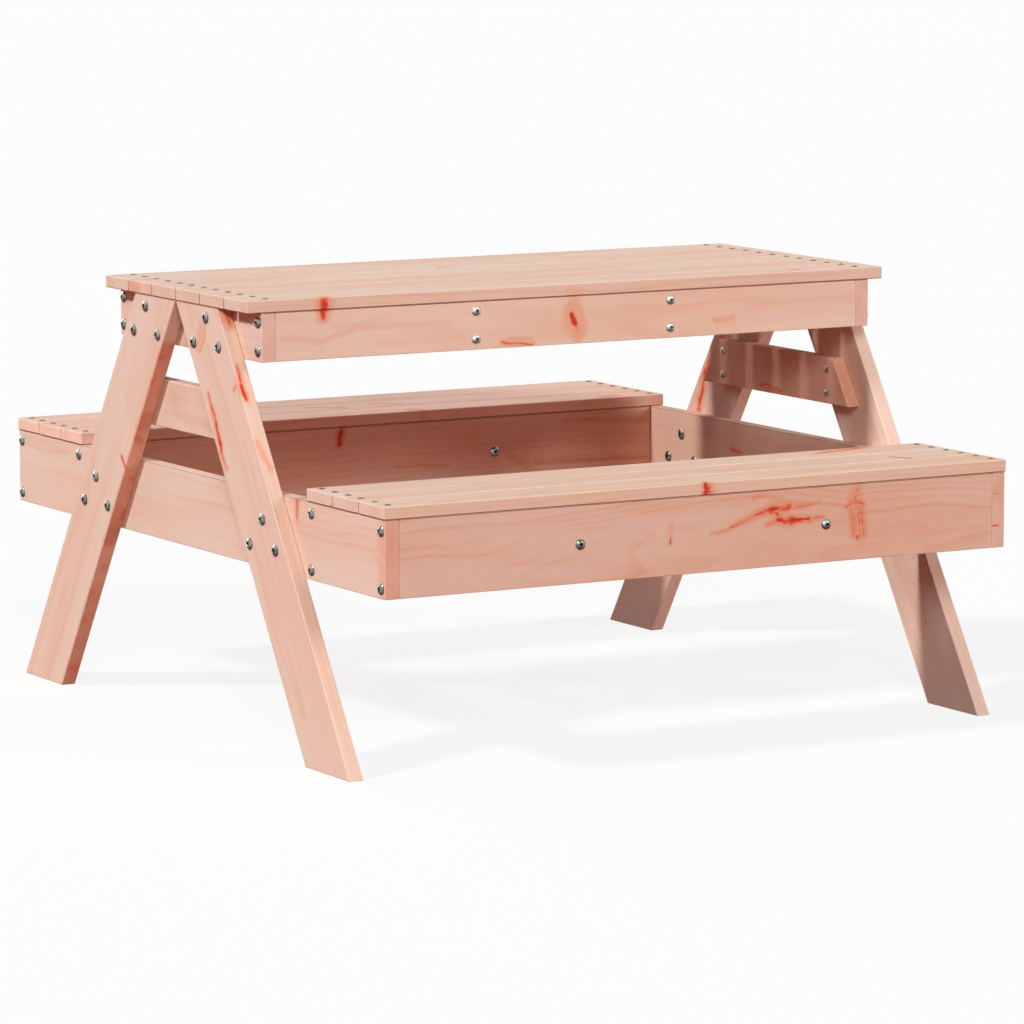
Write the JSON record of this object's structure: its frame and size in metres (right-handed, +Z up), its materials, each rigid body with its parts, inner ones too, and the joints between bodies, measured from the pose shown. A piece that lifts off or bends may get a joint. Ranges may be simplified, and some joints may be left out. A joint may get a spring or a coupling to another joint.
{
  "type": "kids picnic table",
  "caption": "Low slatted softwood table with a slatted bench on each side, joined by two bolted A-frames of leaning legs that stand flat on the ground.",
  "frame": {"origin": "on the floor under the middle of the table", "axes": "+X runs along the table and its benches, +Y runs across it towards the rear bench, +Z is up"},
  "size_m": [0.8848, 0.96, 0.5232],
  "materials": {
    "slat_wood": "planed bare softwood, matt",
    "long_board_wood": "planed bare softwood, matt",
    "frame_wood": "planed bare softwood, matt",
    "zinc_bolts": "bright zinc plating"
  },
  "bodies": {
    "root": {"bench_end_board_left": "frame_wood", "bench_end_board_right": "frame_wood", "bolt_front_left_bench_inner": "zinc_bolts", "bolt_front_left_bench_outer": "zinc_bolts", "bolt_front_left_bench_upper": "zinc_bolts", "bolt_front_left_table_inner": "zinc_bolts", "bolt_front_left_table_outer": "zinc_bolts", "bolt_front_left_table_upper": "zinc_bolts", "bolt_front_right_bench_inner": "zinc_bolts", "bolt_front_right_bench_outer": "zinc_bolts", "bolt_front_right_bench_upper": "zinc_bolts", "bolt_front_right_table_inner": "zinc_bolts", "bolt_front_right_table_outer": "zinc_bolts", "bolt_front_right_table_upper": "zinc_bolts", "bolt_rear_left_bench_inner": "zinc_bolts", "bolt_rear_left_bench_outer": "zinc_bolts", "bolt_rear_left_bench_upper": "zinc_bolts", "bolt_rear_left_table_inner": "zinc_bolts", "bolt_rear_left_table_outer": "zinc_bolts", "bolt_rear_left_table_upper": "zinc_bolts", "bolt_rear_right_bench_inner": "zinc_bolts", "bolt_rear_right_bench_outer": "zinc_bolts", "bolt_rear_right_bench_upper": "zinc_bolts", "bolt_rear_right_table_inner": "zinc_bolts", "bolt_rear_right_table_outer": "zinc_bolts", "bolt_rear_right_table_upper": "zinc_bolts", "front_bench_inner_board": "long_board_wood", "front_bench_outer_board": "long_board_wood", "front_bench_slat_1": "slat_wood", "front_bench_slat_2": "slat_wood", "front_bench_slat_3": "slat_wood", "front_bench_spacer_left": "frame_wood", "front_bench_spacer_right": "frame_wood", "leg_brace_left": "frame_wood", "leg_brace_right": "frame_wood", "leg_front_left": "frame_wood", "leg_front_right": "frame_wood", "leg_rear_left": "frame_wood", "leg_rear_right": "frame_wood", "rear_bench_inner_board": "long_board_wood", "rear_bench_outer_board": "long_board_wood", "rear_bench_slat_1": "slat_wood", "rear_bench_slat_2": "slat_wood", "rear_bench_slat_3": "slat_wood", "rear_bench_spacer_left": "frame_wood", "rear_bench_spacer_right": "frame_wood", "table_apron_front": "long_board_wood", "table_apron_rear": "long_board_wood", "table_crossbar_1": "frame_wood", "table_crossbar_2": "frame_wood", "table_end_board_left": "frame_wood", "table_end_board_right": "frame_wood", "table_slat_1": "slat_wood", "table_slat_2": "slat_wood", "table_slat_3": "slat_wood", "table_slat_4": "slat_wood", "table_slat_5": "slat_wood", "table_slat_6": "slat_wood"}
  },
  "joints": []
}
